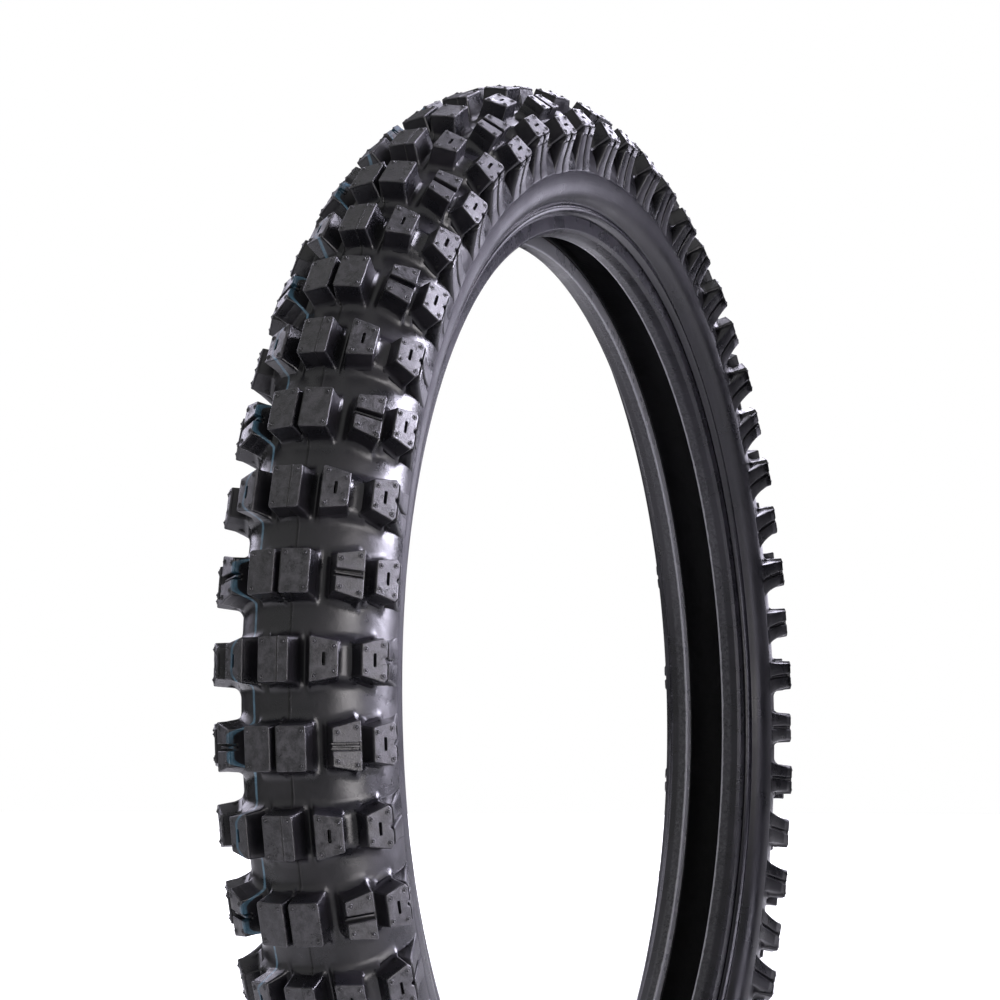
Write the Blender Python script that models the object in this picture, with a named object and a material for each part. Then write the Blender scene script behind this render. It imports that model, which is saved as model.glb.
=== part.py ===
"""Off-road motorcycle tyre, size 80/100-21: knobbly tread, casing, sidewalls and beads as separate pieces.

Frame: metres, +Z up, the axle along Y, the origin at the wheel centre. The left side is +Y.
A cross-section is written in millimetres as (w, r): w is the distance from the centre plane towards
the right side, and r is the distance from the axle.
"""

import math

import bmesh
import bpy

MM = 0.001

# Rows of knobs. Even rows have five knobs and odd rows have six.
ROWS = 56
ROW_PITCH = 2 * math.pi / ROWS
BOTTOM = -math.pi / 2
RING_STEPS = ROWS // 2

# The crown is an arc in the cross-section. Knob tops and the groove floor share its centre.
ARC_CENTRE_R = 297.5
TOP_ARC = 49.0
FLOOR_ARC = 36.5
EDGE_ANGLE = math.radians(92.0)
CROWN_ANGLES = [math.radians(angle) for angle in (0.0, 32.0, 64.0)]
SHOULDER_ANGLE = math.radians(96.0)

# Knobs, measured along the top arc from the centre plane: (inner edge, outer edge).
FIVE_KNOBS = [(0.0, 7.4), (17.0, 29.6), (40.3, 53.1)]
SIX_KNOBS = [(1.5, 15.3), (27.0, 39.8), (45.8, 57.9)]
KNOB_HALF_LENGTH = 10.0
CENTRE_STRIP = 1.5
FLARE = 1.5
PAIR_FLARE = 0.3
BUTTRESS_FLARE = 5.2
LENGTH_FLARE = 1.6

# Layers below the groove floor. GAP keeps neighbouring solids apart.
GAP = 0.3
UNDERTREAD = 3.4
UNDERTREAD_EDGE = 2.6
CUSHION = 1.0
BREAKER = 0.9
PLY = 0.9
LINER = 1.0
CHAFER = 0.8
WRAP = 0.5

# Bead: four hoops of wire side by side, each wound four turns high.
WIRE = 0.9
WIRES = 4
WIRE_STACK = 4.0
BUNDLE_W = 15.6
BUNDLE_R = 267.2
WRAP_TOP_R = 272.0

# Outside of the chafer: toe, base, heel, the dip above the heel, then the rib above the rim.
CHAFER_OUTSIDE = [(11.9, 262.3), (22.6, 263.7), (24.4, 265.6), (24.5, 272.0), (25.7, 275.7), (24.0, 276.3)]
TOE_TOP_R = 271.4
RIB_FOOT_R = 272.4
HEEL_CUT = 1.4

# Outside of the sidewall, from the tread's edge down to the rib above the rim.
SIDEWALL_OUTSIDE = [(36.3, 295.8), (34.0, 287.0), (28.6, 280.2), (26.3, 276.4)]

# The inner ply's middle, from the shoulder down to the bead bundle.
BODY_LOWER = [(28.65, 287.4), (20.5, 281.0), (15.0, 275.0), (14.1, 272.2)]
# The outer ply's middle, from the lower sidewall down to the heel.
FLANGE_LOWER = [(25.9, 282.2), (23.4, 278.1), (22.85, 272.5), (22.85, 266.8)]

COLOURS = {
    "tread": (0.035, 0.035, 0.037),
    "cushion": (0.06, 0.055, 0.05),
    "ply": (0.16, 0.13, 0.10),
    "liner": (0.02, 0.02, 0.022),
    "sidewall": (0.045, 0.045, 0.048),
    "chafer": (0.055, 0.055, 0.058),
    "filler": (0.08, 0.075, 0.07),
    "wire": (0.42, 0.36, 0.28),
}


def make_material(name):
    """A Principled material in the named colour. Only the wire is metal."""
    material = bpy.data.materials.new(name)
    material.use_nodes = True
    shader = material.node_tree.nodes["Principled BSDF"]
    shader.inputs["Base Color"].default_value = (*COLOURS[name], 1.0)
    shader.inputs["Metallic"].default_value = 1.0 if name == "wire" else 0.0
    shader.inputs["Roughness"].default_value = 0.35 if name == "wire" else 0.5
    return material


def arc_point(angle, radius):
    """A cross-section point on an arc about the crown's centre."""
    return (radius * math.sin(angle), ARC_CENTRE_R + radius * math.cos(angle))


def place(w, r, angle):
    """The world place of a cross-section point turned to an angle about the axle."""
    return (MM * r * math.cos(angle), -MM * w, MM * r * math.sin(angle))


def mirrored(line):
    """The same line on the other side of the centre plane, in the reverse order."""
    return [(-w, r) for w, r in reversed(line)]


def both_sides(half):
    """A line from left to right, from the half that starts on the centre plane."""
    return mirrored(half[1:]) + half


def left_normal(start, end):
    """The unit normal on the left of the way from start to end."""
    dw, dr = end[0] - start[0], end[1] - start[1]
    length = math.hypot(dw, dr)
    return (-dr / length, dw / length)


def offset_line(line, distance):
    """The line moved sideways by distance, with mitred corners. Going outwards is positive."""
    normals = [left_normal(a, b) for a, b in zip(line, line[1:])]
    before = [normals[0]] + normals
    after = normals + [normals[-1]]
    moved = []
    for (w, r), (aw, ar), (bw, br) in zip(line, before, after):
        mitre = distance / (1.0 + aw * bw + ar * br)
        moved.append((w + mitre * (aw + bw), r + mitre * (ar + br)))
    return moved


def strip(line, thickness):
    """The outline of a sheet of even thickness along a line."""
    outer = offset_line(line, thickness / 2)
    inner = offset_line(line, -thickness / 2)
    return outer + inner[::-1]


def finish_mesh(name, mesh_builder, material):
    """Turns a bmesh into a named object with outward faces."""
    bmesh.ops.recalc_face_normals(mesh_builder, faces=mesh_builder.faces)
    mesh = bpy.data.meshes.new(name)
    mesh_builder.to_mesh(mesh)
    mesh_builder.free()
    mesh.materials.append(material)
    made = bpy.data.objects.new(name, mesh)
    bpy.context.scene.collection.objects.link(made)
    return made


def ring_angle(step):
    """Rings have their corners in the middle of every second row."""
    return BOTTOM + 2 * step * ROW_PITCH


def revolve(name, outline, material):
    """A closed ring with the given cross-section outline."""
    bm = bmesh.new()
    loops = []
    for step in range(RING_STEPS):
        loops.append([bm.verts.new(place(w, r, ring_angle(step))) for w, r in outline])
    for here, after in zip(loops, loops[1:] + loops[:1]):
        for i in range(len(outline)):
            j = (i + 1) % len(outline)
            bm.faces.new((here[i], here[j], after[j], after[i]))
    return finish_mesh(name, bm, material)


def row_layout(row):
    """The floor angles of one half of a row's lines: both edges of each knob, then the tread's edge."""
    if row % 2:
        centre, middle, shoulder = SIX_KNOBS
        inner_line = centre[0] / TOP_ARC - PAIR_FLARE / FLOOR_ARC
    else:
        centre, middle, shoulder = FIVE_KNOBS
        inner_line = CENTRE_STRIP / TOP_ARC
    flare = FLARE / FLOOR_ARC
    return [
        inner_line,
        centre[1] / TOP_ARC + flare,
        middle[0] / TOP_ARC - flare,
        middle[1] / TOP_ARC + flare,
        shoulder[0] / TOP_ARC - flare,
        shoulder[1] / TOP_ARC + BUTTRESS_FLARE / FLOOR_ARC,
        EDGE_ANGLE,
    ]


def row_top_lines(row):
    """The same lines at the knobs' tops, as (w, r). A line outside the knobs is None."""
    knobs = SIX_KNOBS if row % 2 else FIVE_KNOBS
    places = [arc_point(edge / TOP_ARC, TOP_ARC) for knob in knobs for edge in knob]
    if row % 2 == 0:
        places[0] = (CENTRE_STRIP, places[1][1])
    return places + [None]


def full_row(half):
    """Fourteen lines from left to right, from the seven of the right half."""
    return [(-1, value) for value in reversed(half)] + [(1, value) for value in half]


def knob_spans(row):
    """The knobs of a row as (first line, last line) among the row's fourteen lines."""
    middle = [(5, 6), (7, 8)] if row % 2 else [(5, 8)]
    return [(1, 2), (3, 4)] + middle + [(9, 10), (11, 12)]


def floor_line(bm, row, end):
    """The row's floor points at one end: -1 for its front, 1 for its back."""
    half_angle = (KNOB_HALF_LENGTH + LENGTH_FLARE) / (ARC_CENTRE_R + TOP_ARC)
    angle = BOTTOM + row * ROW_PITCH + end * half_angle
    points = []
    for side, floor_angle in full_row(row_layout(row)):
        w, r = arc_point(floor_angle, FLOOR_ARC)
        points.append(bm.verts.new(place(side * w, r, angle)))
    return points


def top_line(bm, row, end):
    """The row's knob-top points at one end, on planes square to the row's radius."""
    angle = BOTTOM + row * ROW_PITCH
    points = []
    for side, top in full_row(row_top_lines(row)):
        if top is None:
            points.append(None)
            continue
        w, r = top
        x = r * math.cos(angle) - end * KNOB_HALF_LENGTH * math.sin(angle)
        z = r * math.sin(angle) + end * KNOB_HALF_LENGTH * math.cos(angle)
        points.append(bm.verts.new((MM * x, -MM * side * w, MM * z)))
    return points


def add_row(bm, row):
    """The knobs of one row and the floor between them. Returns its front and back floor points."""
    floor = [floor_line(bm, row, end) for end in (-1, 1)]
    top = [top_line(bm, row, end) for end in (-1, 1)]
    covered = set()
    for first, last in knob_spans(row):
        for i in range(first, last):
            covered.add(i)
            bm.faces.new((top[0][i], top[0][i + 1], top[1][i + 1], top[1][i]))
            for end in (0, 1):
                bm.faces.new((floor[end][i], floor[end][i + 1], top[end][i + 1], top[end][i]))
        for i in (first, last):
            bm.faces.new((floor[0][i], floor[1][i], top[1][i], top[0][i]))
    for i in range(len(floor[0]) - 1):
        if i not in covered:
            bm.faces.new((floor[0][i], floor[0][i + 1], floor[1][i + 1], floor[1][i]))
    return floor


def tread_inside():
    """The tread's inner surface in cross-section, from left to right."""
    half = [arc_point(angle, FLOOR_ARC - UNDERTREAD) for angle in CROWN_ANGLES]
    half.append(arc_point(EDGE_ANGLE, FLOOR_ARC - UNDERTREAD_EDGE))
    return both_sides(half)


def close_edge(bm, rows, inner, side):
    """Closes one edge of the tread band, from the many outer points to the few inner ones."""
    for step in range(RING_STEPS):
        here, after = inner[step][side], inner[(step + 1) % RING_STEPS][side]
        even, odd = rows[2 * step], rows[2 * step + 1]
        following = rows[(2 * step + 2) % ROWS]
        bm.faces.new((here, even[0][side], even[1][side]))
        bm.faces.new((here, even[1][side], odd[0][side]))
        bm.faces.new((here, odd[0][side], after))
        bm.faces.new((after, odd[0][side], odd[1][side]))
        bm.faces.new((after, odd[1][side], following[0][side]))


def build_tread(material):
    """The tread band with all its knobs, as one moulded piece."""
    bm = bmesh.new()
    rows = [add_row(bm, row) for row in range(ROWS)]
    for here, after in zip(rows, rows[1:] + rows[:1]):
        for i in range(len(here[1]) - 1):
            bm.faces.new((here[1][i], here[1][i + 1], after[0][i + 1], after[0][i]))
    inner = []
    for step in range(RING_STEPS):
        inner.append([bm.verts.new(place(w, r, ring_angle(step))) for w, r in tread_inside()])
    for here, after in zip(inner, inner[1:] + inner[:1]):
        for i in range(len(here) - 1):
            bm.faces.new((here[i], here[i + 1], after[i + 1], after[i]))
    for side in (0, -1):
        close_edge(bm, rows, inner, side)
    return finish_mesh("tread", bm, material)


def crown_line(depth):
    """Half of a line that stays a fixed depth below the groove floor, out to 64 degrees."""
    return [arc_point(angle, FLOOR_ARC - depth) for angle in CROWN_ANGLES]


def body_line():
    """Half of the inner ply's middle, from the centre plane down to the bead bundle."""
    depth = UNDERTREAD + CUSHION + BREAKER + 1.5 * PLY + 4 * GAP
    shoulder_depth = UNDERTREAD_EDGE + 1.5 * PLY + 2 * GAP
    shoulder = arc_point(SHOULDER_ANGLE, FLOOR_ARC - shoulder_depth)
    return crown_line(depth) + [shoulder] + BODY_LOWER


def outer_ply_line():
    """Half of the outer ply's middle: it lies on the inner ply, then runs down outside the bead."""
    over_body = offset_line(body_line(), PLY + GAP)[:-3]
    return over_body + FLANGE_LOWER


def turn_up_line():
    """The end of the inner ply, turned up outside the bead, from the bottom to its free end."""
    beside = offset_line(FLANGE_LOWER, -(PLY + GAP))
    return beside[-2::-1]


def bundle_outside():
    """The width that the bundle of wires ends at."""
    return BUNDLE_W + WIRES * WIRE + (WIRES - 1) * GAP


def wrap_line():
    """The U-shaped middle of the fabric round the bundle."""
    out = GAP + WRAP / 2
    inner_w, outer_w, bottom_r = BUNDLE_W - out, bundle_outside() + out, BUNDLE_R - out
    return [(inner_w, WRAP_TOP_R), (inner_w, bottom_r), (outer_w, bottom_r), (outer_w, WRAP_TOP_R)]


def inner_ply_line():
    """Half of the inner ply's middle: down to the bead, round it and up again."""
    wrap = wrap_line()
    out = WRAP / 2 + GAP + PLY / 2
    bottom_r = wrap[1][1] - out
    under = [(wrap[1][0] - out, bottom_r), (wrap[2][0] + out, bottom_r)]
    return body_line() + under + turn_up_line()


def filler_outline():
    """The wedge of hard rubber above the bundle, between the inner ply and its turned-up end."""
    clear = PLY / 2 + GAP
    inside = offset_line(body_line(), clear)
    outside = offset_line(turn_up_line(), clear)
    base_r = BUNDLE_R + WIRE_STACK + GAP
    step_r = WRAP_TOP_R + GAP
    return [
        (BUNDLE_W, base_r),
        (bundle_outside(), base_r),
        (bundle_outside(), step_r),
        (outside[0][0], step_r + GAP),
        outside[1],
        inside[-3],
        inside[-2],
        (BUNDLE_W, step_r + GAP),
    ]


def chafer_outline():
    """The strip that meets the rim, from the toe's inner face round the heel to the rib."""
    clear = PLY / 2 + GAP
    bottom_r = inner_ply_line()[len(body_line())][1] - clear
    inside_w = BODY_LOWER[-1][0] - clear
    outside_w = FLANGE_LOWER[-1][0] + clear
    inside = [
        (outside_w, RIB_FOOT_R),
        (outside_w, bottom_r + HEEL_CUT),
        (outside_w - HEEL_CUT, bottom_r),
        (inside_w, bottom_r),
        (inside_w, TOE_TOP_R),
    ]
    return [(inside_w - CHAFER, TOE_TOP_R)] + CHAFER_OUTSIDE + inside


def sidewall_outline():
    """The outer rubber between the tread's edge and the chafer."""
    shoulder, upper, middle, lower = offset_line(outer_ply_line(), PLY / 2 + GAP)[3:7]
    top_inside = (shoulder[0], SIDEWALL_OUTSIDE[0][1])
    return SIDEWALL_OUTSIDE + [lower, middle, upper, shoulder, top_inside]


def build():
    """Makes every piece of the tyre."""
    materials = {name: make_material(name) for name in COLOURS}
    build_tread(materials["tread"])
    cushion_depth = UNDERTREAD + GAP + CUSHION / 2
    breaker_depth = UNDERTREAD + 2 * GAP + CUSHION + BREAKER / 2
    breaker = crown_line(breaker_depth)
    breaker[-1] = tuple((a + b) / 2 for a, b in zip(breaker[-1], breaker[-2]))
    revolve("tread_cushion", strip(both_sides(crown_line(cushion_depth)), CUSHION), materials["cushion"])
    revolve("breaker_ply", strip(both_sides(breaker), BREAKER), materials["ply"])
    revolve("carcass_ply_outer", strip(both_sides(outer_ply_line()), PLY), materials["ply"])
    revolve("carcass_ply_inner", strip(both_sides(inner_ply_line()), PLY), materials["ply"])
    liner = offset_line(body_line(), -(PLY / 2 + GAP + LINER / 2))
    revolve("inner_liner", strip(both_sides(liner), LINER), materials["liner"])
    pieces = {
        "sidewall": (sidewall_outline(), "sidewall"),
        "chafer": (chafer_outline(), "chafer"),
        "bead_filler": (filler_outline(), "filler"),
        "bead_wrap": (strip(wrap_line(), WRAP), "chafer"),
    }
    for name, (outline, material) in pieces.items():
        revolve(name + "_right", outline, materials[material])
        revolve(name + "_left", mirrored(outline), materials[material])
    for number in range(WIRES):
        w = BUNDLE_W + number * (WIRE + GAP)
        top_r = BUNDLE_R + WIRE_STACK
        hoop = [(w, BUNDLE_R), (w + WIRE, BUNDLE_R), (w + WIRE, top_r), (w, top_r)]
        revolve(f"bead_wire_right_{number + 1}", hoop, materials["wire"])
        revolve(f"bead_wire_left_{number + 1}", mirrored(hoop), materials["wire"])


for leftover in list(bpy.data.objects):
    bpy.data.objects.remove(leftover, do_unlink=True)
build()
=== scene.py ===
"""Looks of the off-road motorcycle tyre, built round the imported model.

A cross-section is written in millimetres as (w, r), as in the CAD source: w is the distance from the
centre plane towards the right side (-Y), and r is the distance from the axle. A row of knobs is made
once as points (w, b, r), with b along the tread, and is then turned about the axle to its place.
"""

import math

import bpy
import numpy as np
from mathutils import Matrix, Vector


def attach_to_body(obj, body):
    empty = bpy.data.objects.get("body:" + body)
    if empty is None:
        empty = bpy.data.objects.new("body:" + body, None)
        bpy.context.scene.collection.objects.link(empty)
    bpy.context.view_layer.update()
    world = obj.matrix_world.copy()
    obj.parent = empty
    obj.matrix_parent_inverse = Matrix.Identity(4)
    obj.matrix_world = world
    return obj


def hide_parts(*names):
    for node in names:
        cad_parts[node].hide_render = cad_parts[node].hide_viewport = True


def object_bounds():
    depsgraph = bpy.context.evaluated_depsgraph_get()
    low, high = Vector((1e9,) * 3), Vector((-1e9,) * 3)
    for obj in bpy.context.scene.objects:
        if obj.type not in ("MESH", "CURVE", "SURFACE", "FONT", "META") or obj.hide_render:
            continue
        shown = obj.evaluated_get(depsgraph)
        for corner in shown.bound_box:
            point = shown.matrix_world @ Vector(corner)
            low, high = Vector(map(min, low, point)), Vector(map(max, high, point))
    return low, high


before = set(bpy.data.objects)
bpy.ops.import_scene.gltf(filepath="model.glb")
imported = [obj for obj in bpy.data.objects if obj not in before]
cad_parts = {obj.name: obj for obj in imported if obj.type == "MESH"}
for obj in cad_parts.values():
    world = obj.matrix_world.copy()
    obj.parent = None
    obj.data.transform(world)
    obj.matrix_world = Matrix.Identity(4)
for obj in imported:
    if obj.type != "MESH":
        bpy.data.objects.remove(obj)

cad_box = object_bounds()

MM = 0.001

# Camera, in metres, with its frame as unit vectors.
CAMERA_PLACE = (-1.23171, -0.48455, 0.20357)
CAMERA_FORWARD = (0.92138, 0.38384, -0.06101)
CAMERA_RIGHT = (0.37890, -0.92207, -0.07885)
CAMERA_UP = (0.08653, -0.04954, 0.99502)
CAMERA_LENS = 84.77
CAMERA_SHIFT = (0.0014, -0.0091)

# Tread layout, as in the CAD source. Even rows have five knobs and odd rows have six.
ROWS = 56
ROW_PITCH = 2 * math.pi / ROWS
BOTTOM = -math.pi / 2
ARC_CENTRE_R = 297.5
TOP_ARC = 49.0
FLOOR_ARC = 36.5
# Half length of the centre knobs, along the tread.
CENTRE_HALF = 10.0
EDGE_ANGLE = math.radians(92.0)
FIVE_KNOBS = [(-7.4, 7.4), (17.0, 29.6), (40.3, 53.1)]
SIX_KNOBS = [(1.5, 15.3), (27.0, 39.8), (45.8, 57.9)]
# Half lengths of the same knobs at their inner and outer edges.
FIVE_LENGTHS = [(CENTRE_HALF, CENTRE_HALF), (10.2, 7.7), (6.9, 9.8)]
SIX_LENGTHS = [(CENTRE_HALF, CENTRE_HALF), (8.4, 11.2), (7.5, 9.6)]
# The parting line is a low ridge on the wide centre knob and on the floor, with a dark line of painted shade
# beside it.
PARTING_W = 2.6
PARTING_HALF = 0.2
FLOOR_RIDGE_W = (2.15, 2.4, 2.75, 3.0)
FLOOR_RIDGE_RISE = 0.55
SEAM_SHADE_W = 1.9

# Layers of the casing, as in the CAD source.
GAP = 0.3
UNDERTREAD = 3.4
UNDERTREAD_EDGE = 2.6
CUSHION = 1.0
BREAKER = 0.9
PLY = 0.9
LINER = 1.0
CHAFER = 0.8
WRAP = 0.5
WIRE = 0.9
WIRES = 4
WIRE_STACK = 4.0
BUNDLE_W = 15.6
BUNDLE_R = 267.2
WRAP_TOP_R = 272.0
TOE_TOP_R = 271.4
RIB_FOOT_R = 272.4
HEEL_CUT = 1.4
CROWN_ANGLES = [math.radians(angle) for angle in (0.0, 32.0, 64.0)]
SHOULDER_ANGLE = math.radians(96.0)
BODY_LOWER = [(28.65, 287.4), (20.5, 281.0), (15.0, 275.0), (14.1, 272.2)]
FLANGE_LOWER = [(25.9, 282.2), (23.4, 278.1), (22.85, 272.5), (22.85, 266.8)]
CHAFER_OUTSIDE = [
    (11.9, 262.3), (17.2, 262.8), (22.4, 263.9), (24.3, 265.6), (24.5, 269.6), (24.6, 273.6), (24.0, 276.3),
]

# The sidewall's outside, with the crease above the rim's rib.
SIDEWALL_OUTSIDE = [
    (35.7, 300.6), (36.35, 298.2), (36.55, 296.4), (36.5, 295.2), (36.2, 293.2), (35.7, 290.4), (34.9, 287.7),
    (33.6, 285.0), (31.8, 282.8), (30.2, 281.5), (28.9, 280.7), (27.9, 280.2), (27.45, 279.6), (27.55, 279.0),
    (28.1, 278.4), (28.4, 277.7), (28.4, 277.0), (28.0, 276.0), (27.0, 274.7), (25.8, 273.6), (24.2, 272.6),
]

# The groove floor rises in a fillet round each knob, and in a saddle between middle and shoulder knobs.
# A saddle is (inner edge, outer edge, height, half length), for even rows and then odd rows.
FILLET_REACH = 5.4
FILLET_ACROSS = 2.1
FILLET_RISE = 5.2
FILLET_FULL = 0.93
SADDLES = [(29.6, 40.3, 3.9, 8.2), (39.8, 45.8, 4.4, 8.8)]
RELIEF_FADE = (math.radians(74.0), math.radians(89.0))

# The middles of the ribs on the shoulder, from the knob's outer face down to the sidewall, as (w, r).
FIVE_FIN_PATH = [
    (43.4, 319.6), (41.3, 314.5), (39.7, 309.5), (38.4, 305.0), (37.5, 301.0), (36.8, 297.4), (35.9, 294.6),
]
SIX_FIN_PATH = [
    (45.2, 315.4), (42.9, 311.2), (40.7, 306.6), (39.0, 303.0), (37.8, 299.8), (36.9, 296.9), (35.9, 294.2),
]
FIVE_FIN_OUTER = 9.8
SIX_FIN_OUTER = 9.6

# A vent mark on a knob's top, as (radius, height) from the outside in.
VENT_PROFILE = [
    (1.4, -0.2), (1.35, 0.16), (1.12, 0.32), (0.88, 0.04), (0.62, 0.04), (0.48, 0.6), (0.15, 0.75),
]
VENT_SIDES = 8

# Studio.
FLOOR_HALF_SIDE = 1.3
FLOOR_DROP = 0.0005
VIOLET = (0.86, 0.83, 1.0)
WARM = (1.0, 0.96, 0.98)

# How finely the meshes are divided.
FLOOR_COLUMNS = 47
FLOOR_STEPS_PER_PAIR = 60
FLOOR_STEPS = FLOOR_STEPS_PER_PAIR * ROWS // 2
RING_STEPS = 336
HIDDEN_STEPS = 112
CORNER_STEPS = 4
FILLET_DEGREES = (0.0, 22.0, 45.0, 68.0, 90.0)
BEVEL = ((0.6, 0.0), (0.18, 0.18), (0.0, 0.6))


# ---------------------------------------------------------------- mesh tools


class Shape:
    """Points and faces in millimetres, as (w, b, r) rows."""

    def __init__(self):
        self.points = []
        self.faces = []
        self.count = 0

    def add(self, points, faces):
        points = np.asarray(points, float)
        self.points.append(points)
        self.faces += [tuple(i + self.count for i in face) for face in faces]
        self.count += len(points)

    def add_solid(self, points, faces):
        """Adds a closed shape, with its faces turned outwards."""
        points = np.asarray(points, float)
        if solid_volume(points, faces) < 0:
            faces = [face[::-1] for face in faces]
        self.add(points, faces)

    def add_shape(self, other, mirror=False):
        points = np.concatenate(other.points)
        faces = other.faces
        if mirror:
            points = points * (-1, 1, 1)
            faces = [face[::-1] for face in faces]
        self.add(points, faces)


def solid_volume(points, faces):
    total = 0.0
    for face in faces:
        for j in range(1, len(face) - 1):
            total += np.dot(points[face[0]], np.cross(points[face[j]], points[face[j + 1]]))
    return -total


def unit(vector):
    return vector / np.linalg.norm(vector)


def loft(rings):
    """Points and faces of a closed shape through rings of equal length, capped at both ends."""
    n = len(rings[0])
    faces = [tuple(range(n))[::-1]]
    for k in range(len(rings) - 1):
        for i in range(n):
            j = (i + 1) % n
            faces.append((k * n + i, k * n + j, (k + 1) * n + j, (k + 1) * n + i))
    faces.append(tuple(range((len(rings) - 1) * n, len(rings) * n)))
    return np.concatenate(rings), faces


def outline(corners, steps=CORNER_STEPS):
    """A polygon with rounded corners, each given as (a, b, radius), as an array of points."""
    spots = np.array([corner[:2] for corner in corners], float)
    points = []
    for i, corner in enumerate(corners):
        here = spots[i]
        back, on = spots[i - 1] - here, spots[(i + 1) % len(spots)] - here
        half = math.acos(np.clip(np.dot(unit(back), unit(on)), -1.0, 1.0)) / 2
        cut = min(corner[2] / math.tan(half), 0.45 * np.linalg.norm(back), 0.45 * np.linalg.norm(on))
        radius = cut * math.tan(half)
        centre = here + unit(unit(back) + unit(on)) * radius / math.sin(half)
        first, last = here + unit(back) * cut - centre, here + unit(on) * cut - centre
        sweep = math.pi - 2 * half
        for k in range(steps + 1):
            t = k / steps
            blend = math.sin((1 - t) * sweep) * first + math.sin(t * sweep) * last
            points.append(centre + blend / math.sin(sweep))
    return np.array(points)


def outline_normals(points):
    along = np.roll(points, -1, axis=0) - np.roll(points, 1, axis=0)
    normals = np.column_stack([along[:, 1], -along[:, 0]])
    return normals / np.linalg.norm(normals, axis=1)[:, None]


def to_section(ab, height, angle):
    """Local knob places (a, b) at a height from the arc's centre, as (w, b, r)."""
    a, b = ab[:, 0], ab[:, 1]
    w = height * math.sin(angle) + a * math.cos(angle)
    r = ARC_CENTRE_R + height * math.cos(angle) - a * math.sin(angle)
    return np.column_stack([w, b, r])


def convex_distance(a, b, corners, stretch):
    """How far places lie outside a convex outline, with the a direction stretched. Inside it is 0."""
    spots = np.array([(x * stretch, y) for x, y in corners])
    a = a * stretch
    nearest = np.full(a.shape, 1e9)
    inside = np.ones(a.shape, bool)
    for (ax, ay), (bx, by) in zip(spots, np.roll(spots, -1, axis=0)):
        ex, ey = bx - ax, by - ay
        t = np.clip(((a - ax) * ex + (b - ay) * ey) / (ex * ex + ey * ey), 0, 1)
        nearest = np.minimum(nearest, np.hypot(a - ax - t * ex, b - ay - t * ey))
        inside &= ex * (b - ay) - ey * (a - ax) >= 0
    return np.where(inside, 0.0, nearest)


def smooth(value, low, high):
    t = np.clip((value - low) / (high - low), 0, 1)
    return t * t * (3 - 2 * t)


def footprints():
    """Every knob near a pair of rows, as (row, middle angle, corner places at the foot)."""
    found = []
    for row in (-1, 0, 1, 2):
        knobs = SIX_KNOBS if row % 2 else FIVE_KNOBS
        lengths = SIX_LENGTHS if row % 2 else FIVE_LENGTHS
        for edges, (inner, outer) in zip(knobs, lengths):
            angle, half, _ = knob_place(edges)
            half = half - 0.4
            corners = [(-half, -inner), (half, -outer), (half, outer), (-half, inner)]
            found.append((row, angle, corners))
            if edges[0] > 0:
                swapped = [(-half, -outer), (half, -inner), (half, inner), (-half, outer)]
                found.append((row, -angle, swapped))
    return found


def relief(phi, theta):
    """How far the groove floor stands above its plain arc.

    phi is the angle across the section, and theta is the angle about the axle from an even row."""
    total = np.zeros(phi.shape)
    w = FLOOR_ARC * np.sin(phi)
    radius = ARC_CENTRE_R + FLOOR_ARC * np.cos(phi)
    for row, angle, corners in FOOTPRINTS:
        turn = theta - row * ROW_PITCH
        out = radius * np.cos(turn) - ARC_CENTRE_R
        a = w * math.cos(angle) - out * math.sin(angle)
        away = convex_distance(a, radius * np.sin(turn), corners, FILLET_REACH / FILLET_ACROSS)
        total += np.clip(1 - away / FILLET_REACH, 0, 1) ** 3
    near = FILLET_FULL * np.minimum(1, np.cbrt(total))
    rise = FILLET_RISE * (1 - np.sqrt(1 - near * near))
    for row in (-1, 0, 1, 2):
        inner, outer, height, half_length = SADDLES[row % 2]
        half = (outer - inner) / 2 / TOP_ARC
        off = (np.abs(phi) - (inner + outer) / 2 / TOP_ARC) / half
        along = np.abs(radius * np.sin(theta - row * ROW_PITCH))
        # the saddle is higher towards the two knobs it joins
        across = 1 - smooth(np.abs(off), 1.25, 1.9)
        lobes = 1.7 * np.minimum(off * off, 1.6) * (1 - smooth(along, half_length - 3.2, half_length - 0.8))
        hump = (height + lobes) * (1 - smooth(along, half_length - 1.6, half_length + 4.2)) * across
        rise = (rise ** 4 + hump ** 4) ** 0.25
    return rise * (1 - smooth(np.abs(phi), *RELIEF_FADE))


def floor_height(ab, angle, row):
    """The height of the groove floor under local knob places."""
    height = np.full(len(ab), FLOOR_ARC)
    for _ in range(5):
        w, b, r = to_section(ab, height, angle).T
        out = np.hypot(r, b) - ARC_CENTRE_R
        target = FLOOR_ARC + relief(np.arctan2(w, out), np.arctan2(b, r) + row % 2 * ROW_PITCH)
        height = height + target - np.hypot(w, out)
    return height


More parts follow.
